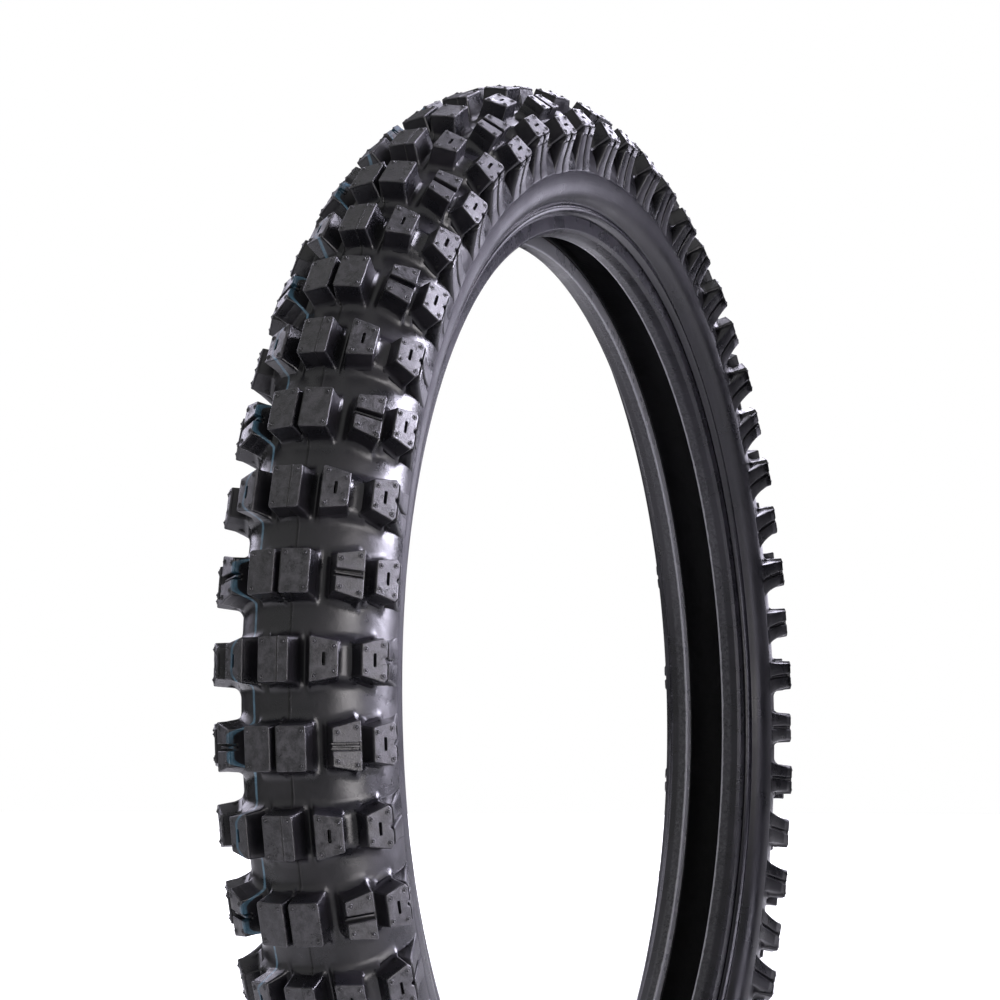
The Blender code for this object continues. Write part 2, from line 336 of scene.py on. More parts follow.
def block(angle, corners, top, row, grow=(1.04, 1.07), fillet=(0.8, 1.3), tight=(), slot=None):
    """A knob: a sunk foot, a small fillet out of the groove floor, drafted walls, a bevel and a flat top.

    tight lists the corners that get almost no fillet, and slot is an outline cut into the top."""
    upper = outline(corners)
    lower = outline([(a * grow[0], b * grow[1], radius + 0.3) for a, b, radius in corners])
    normals = outline_normals(lower)
    reach = np.hypot(fillet[0] * normals[:, 0], fillet[1] * normals[:, 1])
    for i in tight:
        reach[i * (CORNER_STEPS + 1):(i + 1) * (CORNER_STEPS + 1)] *= 0.06
    rings = []
    for degrees in FILLET_DEGREES:
        turn = math.radians(degrees)
        spots = lower + normals * (reach * (1 - math.sin(turn)))[:, None]
        height = floor_height(spots, angle, row) + reach * (1 - math.cos(turn))
        if not rings:
            rings.append(to_section(spots, height - 2.0, angle))
        rings.append(to_section(spots, height, angle))
    inward = outline_normals(upper)
    for drop, inset in BEVEL:
        spots = upper - inward * inset
        rings.append(to_section(spots, np.full(len(spots), top - drop), angle))
    if slot is not None:
        hole = outline(slot)
        for drop, inset in ((0.0, 0.0), (0.2, 0.12), (4.2, 0.2)):
            spots = hole - outline_normals(hole) * inset
            rings.append(to_section(spots, np.full(len(spots), top - drop), angle))
    return loft(rings)


def slab(angle, corners, levels):
    """A small closed block through (height, growth) levels, for parts that stand on a knob."""
    rings = []
    for height, growth in levels:
        spots = outline(corners)
        spots = spots + outline_normals(spots) * growth
        rings.append(to_section(spots, np.full(len(spots), height), angle))
    return loft(rings)


def vent_mark(angle, a, b, top):
    """The little ring and nub that a mould's vent hole leaves on a knob's top."""
    turns = np.linspace(0, 2 * math.pi, VENT_SIDES + 1)[:-1]
    circle = np.column_stack([np.cos(turns), np.sin(turns)])
    rings = []
    for radius, height in VENT_PROFILE:
        rings.append(to_section(circle * radius + (a, b), np.full(VENT_SIDES, top + height), angle))
    return loft(rings)


# ---------------------------------------------------------------- knobs of one row


def knob_place(edges):
    """(middle angle, half width, top height) of a knob from its edges along the top arc."""
    middle = (edges[0] + edges[1]) / 2 / TOP_ARC
    half = (edges[1] - edges[0]) / 2 / TOP_ARC
    return middle, TOP_ARC * math.sin(half), TOP_ARC * math.cos(half)


FOOTPRINTS = footprints()


def marks(shape, angle, top, places):
    for a, b in places:
        shape.add_solid(*vent_mark(angle, a, b, top))


def tapered(half, inner, outer, radius):
    """Four corners of a knob's outline, with its half lengths at the inner and outer edges."""
    return [(-half, -inner, radius), (half, -outer, radius), (half, outer, radius), (-half, inner, radius)]


def slot_outline(notched):
    """A rounded slot. It needs as many corners as its knob's outline: 4, or 10 on a notched knob."""
    w, b, r = 0.85, 3.1, 0.8
    if not notched:
        return tapered(w, b, b, r)
    side = [(w + 0.001 * k, t, 0.05) for k, t in ((1, -1.6), (2, -0.6), (2, 0.6), (1, 1.6))]
    near = [(-w, -b, r), (w * 0.6, -b, 0.3), (w, -b * 0.8, 0.3)]
    far = [(w, b * 0.8, 0.3), (w * 0.6, b, 0.3), (-w, b, r)]
    return near + side + far


def centre_knob():
    """The wide centre knob of an even row, with the parting line's ridge."""
    shape = Shape()
    angle, half, top = knob_place(FIVE_KNOBS[0])
    corners = tapered(half, CENTRE_HALF, CENTRE_HALF, 1.3)
    shape.add_solid(*block(angle, corners, top, 0))
    near, far = PARTING_W - PARTING_HALF, PARTING_W + PARTING_HALF
    ridge = [(near, -CENTRE_HALF, 0.1), (far, -CENTRE_HALF, 0.1)]
    ridge += [(far, CENTRE_HALF, 0.1), (near, CENTRE_HALF, 0.1)]
    shape.add_solid(*slab(angle, ridge, ((top - 0.3, 0.0), (top + 0.02, 0.0), (top + 0.14, -0.1))))
    marks(shape, angle, top, [(-half + 2.0, -7.9), (-half + 2.0, 7.9), (half - 2.2, -7.6)])
    return shape


def pair_knob():
    """The right one of the centre pair in an odd row."""
    shape = Shape()
    angle, half, top = knob_place(SIX_KNOBS[0])
    corners = tapered(half, CENTRE_HALF, CENTRE_HALF, 1.3)
    shape.add_solid(*block(angle, corners, top, 1, grow=(1.02, 1.07), fillet=(0.5, 1.3)))
    marks(shape, angle, top, [(half - 2.2, -7.6), (half - 2.2, 7.6), (-half + 2.2, -7.9)])
    return shape


def slotted_knob():
    """A middle knob of an even row, with a slot in its top."""
    shape = Shape()
    angle, half, top = knob_place(FIVE_KNOBS[1])
    corners = tapered(half, *FIVE_LENGTHS[1], 0.8)
    shape.add_solid(*block(angle, corners, top, 0, slot=slot_outline(notched=False)))
    marks(shape, angle, top, [(-half + 2.1, -7.6), (half - 2.1, -5.4), (half - 2.1, 5.4), (-half + 2.1, 7.6)])
    return shape


def split_knob():
    """A middle knob of an odd row, cut across by a groove with a thin rib in it."""
    shape = Shape()
    angle, half, top = knob_place(SIX_KNOBS[1])
    inner, outer = SIX_LENGTHS[1]
    groove, slant, groove_depth = 1.65, 0.25, 4.4
    low = top - groove_depth
    corners = tapered(half, inner, outer, 0.8)
    grown = [(a * 1.015, b * 1.02, radius) for a, b, radius in corners]
    shape.add_solid(*block(angle, grown, low, 1, grow=(1.03, 1.05)))
    for end in (-1, 1):
        near_in, near_out = end * groove - slant, end * groove + slant
        half_corners = [(-half, near_in, 0.25), (half, near_out, 0.25)]
        half_corners += [(half, end * outer, 0.8), (-half, end * inner, 0.8)]
        if end < 0:
            half_corners = half_corners[::-1]
        levels = ((low - 0.8, -0.1), (low - 0.4, 0.16), (top - 0.45, 0.0), (top - 0.13, -0.13), (top, -0.45))
        shape.add_solid(*slab(angle, half_corners, levels))
        marks(shape, angle, top, [(-half + 2.1, end * (inner - 2.1)), (half - 2.1, end * (outer - 3.0))])
    end_w, thick = half - 0.1, 0.5
    rib = [
        (-end_w, -thick - slant, 0.1), (end_w, -thick + slant, 0.1),
        (end_w, thick + slant, 0.1), (-end_w, thick - slant, 0.1),
    ]
    levels = ((low - 0.5, 0.25), (low + 0.2, 0.2), (top - 1.9, 0.0), (top - 1.7, -0.15))
    shape.add_solid(*slab(angle, rib, levels))
    return shape


def shoulder_knob(row):
    """A shoulder knob, with a slot in its top and a notch in the middle of its outer edge."""
    shape = Shape()
    edges, (inner, outer) = (SIX_KNOBS[2], SIX_LENGTHS[2]) if row else (FIVE_KNOBS[2], FIVE_LENGTHS[2])
    angle, half, top = knob_place(edges)
    chamfer, notch = 1.7, 1.3
    side = [(half, -1.5, 0.2), (half - notch, -0.6, 0.2), (half - notch, 0.6, 0.2), (half, 1.5, 0.2)]
    corners = [(-half, -inner, 0.7), (half - chamfer, -outer, 0.6), (half, -outer + chamfer, 0.6)]
    corners += side + [(half, outer - chamfer, 0.6), (half - chamfer, outer, 0.6), (-half, inner, 0.7)]
    slot = slot_outline(notched=True)
    shape.add_solid(*block(angle, corners, top, row, grow=(1.1, 1.06), tight=(3, 4, 5, 6), slot=slot))
    near_w, far_w, near_b, far_b = -half + 2.0, half - 2.2, inner - 2.2, outer - 3.0
    marks(shape, angle, top, [(near_w, -near_b), (far_w, -far_b), (far_w, far_b), (near_w, near_b)])
    return shape


def fins(path, outer):
    """Two ribs from a shoulder knob's outer face down on to the sidewall, and the lower web between them."""
    shape = Shape()
    path = np.array(path, float)
    for end in (-1, 1):
        rings = []
        for k, (w, r) in enumerate(path):
            t = k / (len(path) - 1)
            near = 1.2 - 0.5 * t
            far = outer - 1.2 + 4.3 * t * t
            lean = -1.6 * t * t
            depth = 9.0 - 5.0 * t
            section = [
                (w - depth, near), (w - 0.9, near), (w - 0.25, near + 0.2),
                (w, near + 0.8), (w, (near + far) / 2), (w - 0.1, far - 1.3),
                (w - 0.45, far - 0.5), (w - 1.2, far), (w - depth, far + 1.5),
            ]
            rings.append(np.array([(x, end * b + lean, r) for x, b in section]))
        shape.add_solid(*loft(rings))
    rings = []
    for k, (w, r) in enumerate(path):
        t = k / (len(path) - 1)
        lean, depth = -1.6 * t * t, 9.0 - 5.0 * t
        section = [(w - depth, -1.9), (w - 1.5, -1.9), (w - 1.9, 0.0), (w - 1.5, 1.9), (w - depth, 1.9)]
        rings.append(np.array([(x, b + lean, r) for x, b in section]))
    shape.add_solid(*loft(rings))
    return shape


def turned(points, angle):
    """(w, b, r) points in millimetres, turned to an angle about the axle, in metres."""
    w, b, r = points.T
    x = r * math.cos(angle) - b * math.sin(angle)
    z = r * math.sin(angle) + b * math.cos(angle)
    return np.column_stack([x, -w, z]) * MM


def make_piece(name, points, faces, material, normals):
    mesh = bpy.data.meshes.new(name)
    mesh.from_pydata(points.tolist(), [], faces)
    mesh.materials.append(material)
    mesh.polygons.foreach_set("use_smooth", [True] * len(mesh.polygons))
    mesh.normals_split_custom_set_from_vertices(normals.tolist())
    piece = bpy.data.objects.new(name, mesh)
    bpy.context.scene.collection.objects.link(piece)
    return piece


def area_normals(points, faces):
    total = np.zeros_like(points)
    for face in faces:
        corners = points[list(face)]
        spans = corners[1:] - corners[0]
        total[list(face)] += np.cross(spans[:-1], spans[1:]).sum(axis=0)
    length = np.linalg.norm(total, axis=1)
    length[length == 0] = 1.0
    return total / length[:, None]


def repeat_row(name, shape, rows, material):
    """One piece made of a row's template at each of the given rows."""
    points = np.concatenate(shape.points)
    faces = shape.faces
    flat = turned(points, 0.0)
    normals = area_normals(flat, faces)
    all_points, all_faces, all_normals = [], [], []
    for number, row in enumerate(rows):
        angle = BOTTOM + row * ROW_PITCH
        all_points.append(turned(points, angle))
        cos, sin = math.cos(angle), math.sin(angle)
        turn = np.array([[cos, 0, -sin], [0, 1, 0], [sin, 0, cos]])
        all_normals.append(normals @ turn.T)
        shift = number * len(points)
        all_faces += [tuple(i + shift for i in face) for face in faces]
    return make_piece(name, np.concatenate(all_points), all_faces, material, np.concatenate(all_normals))


def ring_piece(name, grid, material, smooth_columns=0):
    """A closed ring from a (steps, section points, 3) grid of world places.

    The first smooth_columns points of the section are shaded as one open sheet."""
    steps, n = grid.shape[:2]
    points = grid.reshape(-1, 3)
    index = np.arange(steps * n).reshape(steps, n)
    on = np.roll(index, -1, axis=0)
    faces = np.stack([index, on, np.roll(on, -1, axis=1), np.roll(index, -1, axis=1)], axis=-1).reshape(-1, 4)
    cross = np.cross(points[faces[:, 2]] - points[faces[:, 0]], points[faces[:, 3]] - points[faces[:, 1]])
    if np.sum(points[faces[:, 0]] * cross) < 0:
        faces, cross = faces[:, ::-1], -cross
    normals = np.zeros_like(points)
    for corner in range(4):
        np.add.at(normals, faces[:, corner], cross)
    normals = normals.reshape(grid.shape)
    if smooth_columns:
        sheet = grid[:, :smooth_columns]
        along = np.roll(sheet, -1, axis=0) - np.roll(sheet, 1, axis=0)
        open_normals = np.cross(along, np.gradient(sheet, axis=1))
        outward = np.sign(np.sum(open_normals * normals[:, :smooth_columns]))
        normals[:, :smooth_columns] = open_normals * outward
    normals /= np.maximum(np.linalg.norm(normals, axis=2), 1e-15)[:, :, None]
    return make_piece(name, points, faces.tolist(), material, normals.reshape(-1, 3))


def around_axle(section, angles):
    """The (w, r) section at each angle, as a grid of world places. w and r may differ from angle to angle."""
    w, r = np.moveaxis(np.broadcast_to(section, (len(angles), *np.shape(section)[-2:])), -1, 0)
    cos, sin = np.cos(angles)[:, None], np.sin(angles)[:, None]
    return np.stack([r * cos, -w, r * sin], axis=-1) * MM


def revolve(name, section, material, steps=RING_STEPS):
    """A closed ring with the given cross-section."""
    angles = BOTTOM + 2 * math.pi * np.arange(steps) / steps
    return ring_piece(name, around_axle(np.asarray(section, float), angles), material)


# ---------------------------------------------------------------- casing sections


def arc_point(angle, radius):
    return (radius * math.sin(angle), ARC_CENTRE_R + radius * math.cos(angle))


def mirrored(line):
    return [(-w, r) for w, r in reversed(line)]


def both_sides(half):
    return mirrored(half[1:]) + half


def offset_line(line, distance):
    """The line moved sideways by distance, with mitred corners. Going outwards is positive."""
    normals = []
    for (aw, ar), (bw, br) in zip(line, line[1:]):
        length = math.hypot(bw - aw, br - ar)
        normals.append((-(br - ar) / length, (bw - aw) / length))
    before = [normals[0]] + normals
    after = normals + [normals[-1]]
    moved = []
    for (w, r), (aw, ar), (bw, br) in zip(line, before, after):
        mitre = distance / (1.0 + aw * bw + ar * br)
        moved.append((w + mitre * (aw + bw), r + mitre * (ar + br)))
    return moved


def strip(line, thickness):
    outer = offset_line(line, thickness / 2)
    inner = offset_line(line, -thickness / 2)
    return outer + inner[::-1]


def crown_line(depth):
    """Half of an arc that stays a fixed depth below the groove floor, out to 64 degrees."""
    turns = np.linspace(0.0, CROWN_ANGLES[-1], 12)
    return [arc_point(turn, FLOOR_ARC - depth) for turn in turns]


def body_line():
    """Half of the inner ply's middle, from the centre plane down to the bead bundle."""
    depth = UNDERTREAD + CUSHION + BREAKER + 1.5 * PLY + 4 * GAP
    shoulder_depth = UNDERTREAD_EDGE + 1.5 * PLY + 2 * GAP
    line = crown_line(depth)
    for t in (0.33, 0.67, 1.0):
        turn = CROWN_ANGLES[-1] + t * (SHOULDER_ANGLE - CROWN_ANGLES[-1])
        line.append(arc_point(turn, FLOOR_ARC - depth - t * (shoulder_depth - depth)))
    return line + BODY_LOWER


def outer_ply_line():
    return offset_line(body_line(), PLY + GAP)[:-3] + FLANGE_LOWER


def turn_up_line():
    return offset_line(FLANGE_LOWER, -(PLY + GAP))[-2::-1]


def bundle_outside():
    return BUNDLE_W + WIRES * WIRE + (WIRES - 1) * GAP


def wrap_line():
    out = GAP + WRAP / 2
    inner_w, outer_w, bottom_r = BUNDLE_W - out, bundle_outside() + out, BUNDLE_R - out
    return [(inner_w, WRAP_TOP_R), (inner_w, bottom_r), (outer_w, bottom_r), (outer_w, WRAP_TOP_R)]


def inner_ply_line():
    wrap = wrap_line()
    out = WRAP / 2 + GAP + PLY / 2
    bottom_r = wrap[1][1] - out
    return body_line() + [(wrap[1][0] - out, bottom_r), (wrap[2][0] + out, bottom_r)] + turn_up_line()


def filler_outline():
    clear = PLY / 2 + GAP
    inside = offset_line(body_line(), clear)
    outside = offset_line(turn_up_line(), clear)
    step_r = WRAP_TOP_R + GAP
    base_r = BUNDLE_R + WIRE_STACK + GAP
    return [
        (BUNDLE_W, base_r), (bundle_outside(), base_r), (bundle_outside(), step_r),
        (outside[0][0], step_r + GAP), outside[1], inside[-3], inside[-2], (BUNDLE_W, step_r + GAP),
    ]


def rounded_section(section, radius):
    """A section with its sharp corners rounded by up to a radius."""
    return outline([(w, r, radius) for w, r in section], steps=3)


def chafer_section():
    clear = PLY / 2 + GAP
    bottom_r = inner_ply_line()[len(body_line())][1] - clear
    inside_w = BODY_LOWER[-1][0] - clear
    outside_w = FLANGE_LOWER[-1][0] + clear
    inside = [
        (outside_w, RIB_FOOT_R), (outside_w, bottom_r + HEEL_CUT), (outside_w - HEEL_CUT, bottom_r),
        (inside_w, bottom_r), (inside_w, TOE_TOP_R),
    ]
    return rounded_section([(inside_w - CHAFER, TOE_TOP_R)] + CHAFER_OUTSIDE + inside, 0.7)


def sidewall_section():
    inside = offset_line(outer_ply_line(), PLY / 2 + GAP)
    lower = inside[len(crown_line(0.0)) + 2:-2]
    top_inside = (lower[0][0], SIDEWALL_OUTSIDE[0][1])
    return SIDEWALL_OUTSIDE + lower[::-1] + [top_inside]


def tread_base(name, side, material):
    """One half of the groove floor, with its fillets and saddles, and the tread's inner surface under it."""
    phi = np.linspace(0.0, EDGE_ANGLE, FLOOR_COLUMNS + 1)
    lift = np.zeros(len(phi))
    if side > 0:
        ridge = [math.asin(w / FLOOR_ARC) for w in FLOOR_RIDGE_W]
        phi = np.sort(np.append(phi, ridge))
        lift = np.where(np.isin(phi, ridge[1:3]), FLOOR_RIDGE_RISE, 0.0)
    angles = BOTTOM + 2 * math.pi * np.arange(FLOOR_STEPS) / FLOOR_STEPS
    theta = np.mod(angles - BOTTOM, 2 * ROW_PITCH)
    theta = np.where(theta > 1.5 * ROW_PITCH, theta - 2 * ROW_PITCH, theta)
    height = relief(*np.broadcast_arrays(side * phi[None, :], theta[:FLOOR_STEPS_PER_PAIR, None]))
    reach = np.tile(FLOOR_ARC + lift + height, (ROWS // 2, 1))
    outer = np.stack([side * reach * np.sin(phi), ARC_CENTRE_R + reach * np.cos(phi)], axis=-1)
    turns = [0.0, *CROWN_ANGLES[1:]]
    half = [arc_point(turn, FLOOR_ARC - UNDERTREAD) for turn in turns]
    half.append(arc_point(EDGE_ANGLE, FLOOR_ARC - UNDERTREAD_EDGE))
    inner = np.array([(side * w, r) for w, r in half[::-1]])
    inner = np.broadcast_to(inner, (len(angles), *inner.shape))
    grid = around_axle(np.concatenate([outer, inner], axis=1), angles)
    return ring_piece(name, grid, material, smooth_columns=outer.shape[1])


# ---------------------------------------------------------------- materials


class Look:
    """A procedural material in the making. Every texture reads the piece's own object coordinates."""

    def __init__(self, name):
        self.material = bpy.data.materials.new(name)
        self.material.use_nodes = True
        self.tree = self.material.node_tree
        self.shader = self.tree.nodes["Principled BSDF"]
        self.coords = self.tree.nodes.new("ShaderNodeTexCoord").outputs["Object"]
        split = self.tree.nodes.new("ShaderNodeSeparateXYZ")
        self.tree.links.new(self.coords, split.inputs[0])
        self.x, self.y, self.z = split.outputs
        self.normal = None

    def put(self, socket, value):
        if isinstance(value, bpy.types.NodeSocket):
            self.tree.links.new(value, socket)
        else:
            socket.default_value = value

    def math(self, operation, first, second=0.0, third=0.0):
        node = self.tree.nodes.new("ShaderNodeMath")
        node.operation = operation
        for socket, value in zip(node.inputs, (first, second, third)):
            self.put(socket, value)
        return node.outputs[0]

    def noise(self, scale, detail=4.0, roughness=0.55):
        node = self.tree.nodes.new("ShaderNodeTexNoise")
        self.put(node.inputs["Vector"], self.coords)
        self.put(node.inputs["Scale"], scale)
        self.put(node.inputs["Detail"], detail)
        self.put(node.inputs["Roughness"], roughness)
        return node.outputs["Fac"]

    def step(self, value, low, high, out_low=0.0, out_high=1.0):
        """A smooth step from out_low to out_high as the value goes from low to high."""
        node = self.tree.nodes.new("ShaderNodeMapRange")
        node.interpolation_type = "SMOOTHSTEP"
        for socket, number in zip(node.inputs, (value, low, high, out_low, out_high)):
            self.put(socket, number)
        return node.outputs["Result"]

    def mix(self, factor, first, second):
        node = self.tree.nodes.new("ShaderNodeMix")
        node.data_type = "RGBA"
        self.put(node.inputs["Factor"], factor)
        for key, value in (("A", first), ("B", second)):
            socket = next(s for s in node.inputs if s.name == key and s.type == "RGBA")
            self.put(socket, value if isinstance(value, bpy.types.NodeSocket) else (*value, 1.0))
        return next(s for s in node.outputs if s.type == "RGBA")

    def bump(self, height, distance, strength=1.0):
        node = self.tree.nodes.new("ShaderNodeBump")
        self.put(node.inputs["Height"], height)
        self.put(node.inputs["Distance"], distance)
        self.put(node.inputs["Strength"], strength)
        if self.normal is not None:
            self.put(node.inputs["Normal"], self.normal)
        self.normal = node.outputs["Normal"]

    def finish(self, colour, roughness, **settings):
        self.put(self.shader.inputs["Base Color"], colour)
        self.put(self.shader.inputs["Roughness"], roughness)
        if self.normal is not None:
            self.put(self.shader.inputs["Normal"], self.normal)
        for name, value in settings.items():
            self.shader.inputs[name.replace("_", " ")].default_value = value
        return self.material

    def product(self, first, second):
        return self.math("MULTIPLY", first, second)

    def sine(self, value, rate):
        """A sine of the value times the rate."""
        return self.math("SINE", self.product(value, rate))

    def distance(self, first, second):
        squares = self.math("ADD", self.product(first, first), self.product(second, second))
        return self.math("SQRT", squares)

    def around(self):
        """(angle about the axle, distance from the axle)."""
        return self.math("ARCTAN2", self.z, self.x), self.distance(self.x, self.z)

    def past_arc_centre(self, radius):
        """How much further from the axle than the crown arc's centre a place is."""
        return self.math("SUBTRACT", radius, ARC_CENTRE_R * MM)

    def shade(self, value, low, high, dark, light):
        """A colour that goes from dark to light as the value goes from low to high."""
        return self.mix(self.step(value, low, high), dark, light)


def blue_line(look, angle, patches):
    """(strength, colour) of the blue line, which wanders outwards over the knobs and back in the grooves."""
    phase = look.product(look.math("SUBTRACT", angle, BOTTOM), ROWS)
    at_row = look.step(look.math("COSINE", phase), -0.35, 0.75)
    even = look.math("MULTIPLY_ADD", look.math("COSINE", look.product(phase, 0.5)), 0.5, 0.5)
    reach = look.math("MULTIPLY_ADD", even, -0.0027, 0.0078)
    wander = look.math("MULTIPLY_ADD", look.noise(38.0, 2.0), 0.003, -0.0015)
    centre = look.math("ADD", look.math("MULTIPLY_ADD", at_row, reach, 0.0178), wander)
    off = look.math("ABSOLUTE", look.math("SUBTRACT", look.y, centre))
    on_odd_row = look.product(at_row, look.math("SUBTRACT", 1.0, even))
    width = look.math("MULTIPLY_ADD", on_odd_row, 0.0009, 0.0007)
    line = look.step(look.math("SUBTRACT", width, off), -0.0003, 0.0003)
    worn = look.step(look.noise(240.0, 4.0, 0.7), 0.3, 0.62)
    on_knobs = look.mix(patches, (0.015, 0.045, 0.07), (0.06, 0.15, 0.22))
    strength = look.product(line, look.math("MULTIPLY_ADD", worn, 0.5, 0.4))
    return strength, look.mix(at_row, (0.13, 0.25, 0.35), on_knobs)


def tread_look(name="tread_rubber"):
    """Satin moulded rubber: smooth walls and grooves, dusty grained tops, the extruder's blue line and a
    painted shade line beside the parting ridge.
    """
    look = Look(name)
    angle, radius = look.around()
    arc = look.distance(look.y, look.past_arc_centre(radius))
    on_top = look.step(arc, (TOP_ARC - 1.4) * MM, (TOP_ARC - 0.6) * MM)
    patches = look.noise(55.0, 5.0, 0.6)
    grain = look.noise(1400.0, 3.0, 0.6)
    fine = look.noise(5200.0, 2.0, 0.6)
    scuffs = look.noise(230.0, 6.0, 0.72)
    wall = look.shade(patches, 0.35, 0.7, (0.006, 0.006, 0.008), (0.012, 0.011, 0.014))
    dust = look.shade(scuffs, 0.36, 0.68, (0.014, 0.014, 0.016), (0.056, 0.054, 0.061))
    dust = look.mix(look.product(look.step(grain, 0.5, 0.8), 0.4), dust, (0.09, 0.088, 0.096))
    colour = look.mix(look.product(on_top, 0.85), wall, dust)
    # painted shade: a near-black line beside the parting ridge, where the bump below also cuts a small groove
    from_seam = look.math("ABSOLUTE", look.math("ADD", look.y, SEAM_SHADE_W * MM))
    seam_groove_and_shade = look.step(from_seam, 0.00012, 0.0003, 1.0, 0.0)
    colour = look.mix(seam_groove_and_shade, colour, (0.003, 0.003, 0.003))
    strength, blue = blue_line(look, angle, patches)
    colour = look.mix(strength, colour, blue)
    worn_top = look.product(on_top, look.step(scuffs, 0.35, 0.65, -0.02, 0.2))
    roughness = look.math("ADD", worn_top, look.step(patches, 0.32, 0.7, 0.20, 0.36))
    roughness = look.math("ADD", roughness, look.product(grain, 0.08))
    look.bump(patches, 0.0012, 0.35)
    look.bump(look.product(grain, look.math("MULTIPLY_ADD", on_top, 0.8, 0.2)), 0.00022, 0.7)
    look.bump(fine, 0.00005, 0.5)
    look.bump(look.product(scuffs, on_top), 0.0004, 0.5)
    look.bump(seam_groove_and_shade, -0.0003, 0.6)
    return look.finish(colour, roughness)


def sidewall_look(name="sidewall_rubber"):
    """Smooth satin rubber with faint turned lines and a greyish bloom, glossier on the rib above the rim."""
    look = Look(name)
    _, radius = look.around()
    patches = look.noise(30.0, 5.0, 0.6)
    grain = look.noise(2200.0, 3.0, 0.6)
    streaks = look.noise(9.0, 3.0, 0.5)
    colour = look.shade(patches, 0.3, 0.72, (0.004, 0.004, 0.006), (0.010, 0.009, 0.013))
    colour = look.mix(look.product(look.step(grain, 0.5, 0.8), 0.2), colour, (0.04, 0.04, 0.047))
    roughness = look.math("ADD", look.step(patches, 0.35, 0.68, 0.24, 0.38), look.product(streaks, 0.06))
    rib = look.product(look.step(radius, 0.2722, 0.2730), look.step(radius, 0.2776, 0.2784, 1.0, 0.0))
    roughness = look.product(roughness, look.math("MULTIPLY_ADD", rib, -0.65, 1.0))
    look.bump(look.sine(radius, 5200.0), 0.00003, 0.25)
    look.bump(patches, 0.0009, 0.3)
    look.bump(grain, 0.0001, 0.6)
    return look.finish(colour, roughness, Specular_IOR_Level=0.38)


def chafer_look(name="chafer_rubber"):
    """Rubber at the rim, with a fine square weave, small vent marks across it and a pale ragged toe."""
    look = Look(name)
    angle, radius = look.around()
    patches = look.noise(45.0, 5.0, 0.6)
    along = look.sine(angle, 265.0 * 5.2)
    across = look.sine(look.math("ADD", look.y, radius), 5200.0)
    weave = look.product(along, across)
    vents = look.step(look.math("COSINE", look.product(angle, 84.0)), 0.9985, 0.9995)
    colour = look.shade(patches, 0.3, 0.72, (0.004, 0.004, 0.006), (0.010, 0.009, 0.013))
    colour = look.mix(look.product(vents, 0.4), colour, (0.008, 0.008, 0.010))
    fray = look.product(look.noise(150.0, 4.0, 0.7), 0.0016)
    ragged = look.math("ADD", look.math("ABSOLUTE", look.y), fray)
    at_base = look.step(radius, 0.2642, 0.2650, 1.0, 0.0)
    bottom = look.product(at_base, look.step(ragged, 0.0180, 0.0200, 1.0, 0.0))
    bloom = look.product(bottom, look.step(look.noise(500.0, 4.0, 0.7), 0.2, 0.8))
    colour = look.mix(bloom, colour, (0.05, 0.05, 0.055))
    colour = look.mix(look.step(ragged, 0.0136, 0.0144, 0.85, 0.0), colour, (0.26, 0.26, 0.28))
    look.bump(look.math("MULTIPLY_ADD", weave, 0.5, 0.5), 0.00006, 0.5)
    look.bump(vents, 0.0002, 0.5)
    look.bump(patches, 0.0008, 0.3)
    return look.finish(colour, look.step(patches, 0.3, 0.75, 0.24, 0.36), Specular_IOR_Level=0.4)


def liner_look(name="liner_rubber"):
    """The inside of the casing: matt black, with the cords of two crossed plies showing faintly."""
    look = Look(name)
    angle, radius = look.around()
    section = look.math("ARCTAN2", look.y, look.past_arc_centre(radius))
    across = look.product(section, 30.0)
    along = look.product(angle, 300.0)
    slants = [look.math("MULTIPLY_ADD", across, sign, along) for sign in (-1.0, 1.0)]
    crossed = look.math("MAXIMUM", *[look.sine(slanted, 2 * math.pi / 1.7) for slanted in slants])
    patches = look.noise(25.0, 5.0, 0.6)
    colour = look.shade(crossed, 0.2, 1.0, (0.006, 0.006, 0.007), (0.013, 0.013, 0.015))
    colour = look.mix(look.product(look.step(patches, 0.45, 0.75), 0.5), colour, (0.018, 0.018, 0.021))
    look.bump(crossed, 0.00012, 0.5)
    look.bump(patches, 0.001, 0.3)
    return look.finish(colour, look.step(patches, 0.3, 0.7, 0.5, 0.7))


def cord_look(name, slope, light, dark):
    """Rubber-coated parallel cords that cross the tyre at a slope."""
    look = Look(name)
    angle, radius = look.around()
    section = look.math("ARCTAN2", look.y, look.past_arc_centre(radius))
    slanted = look.math("MULTIPLY_ADD", look.product(section, 32.0), slope, look.product(angle, 300.0))
    cords = look.math("MULTIPLY_ADD", look.sine(slanted, 2 * math.pi / 1.1), 0.5, 0.5)
    fuzz = look.noise(1800.0, 3.0, 0.6)
    colour = look.mix(look.product(cords, look.step(fuzz, 0.2, 0.7)), dark, light)
    look.bump(cords, 0.0003, 0.8)
    look.bump(fuzz, 0.0001, 0.6)
    return look.finish(colour, look.step(fuzz, 0.3, 0.7, 0.6, 0.8))


def plain_rubber_look(name, dark, light, rough):
    """Uncovered hidden rubber, mottled and lightly grained."""
    look = Look(name)
    patches = look.noise(60.0, 5.0, 0.6)
    grain = look.noise(1600.0, 3.0, 0.6)
    look.bump(patches, 0.0008, 0.4)
    look.bump(grain, 0.0001, 0.6)
    return look.finish(look.mix(patches, dark, light), look.step(grain, 0.3, 0.7, rough, rough + 0.12))


def wire_look(name="bronze_wire"):
    """Drawn steel wire with a thin bronze coat."""
    look = Look(name)
    _, radius = look.around()
    turns = look.sine(radius, 2000 * math.pi)
    stains = look.noise(120.0, 4.0, 0.6)
    draws = look.noise(3000.0, 2.0, 0.5)
    colour = look.mix(stains, (0.30, 0.22, 0.13), (0.52, 0.42, 0.27))
    look.bump(turns, 0.0002, 0.6)
    look.bump(draws, 0.00004, 0.5)
    return look.finish(colour, look.step(stains, 0.3, 0.7, 0.24, 0.42), Metallic=1.0)


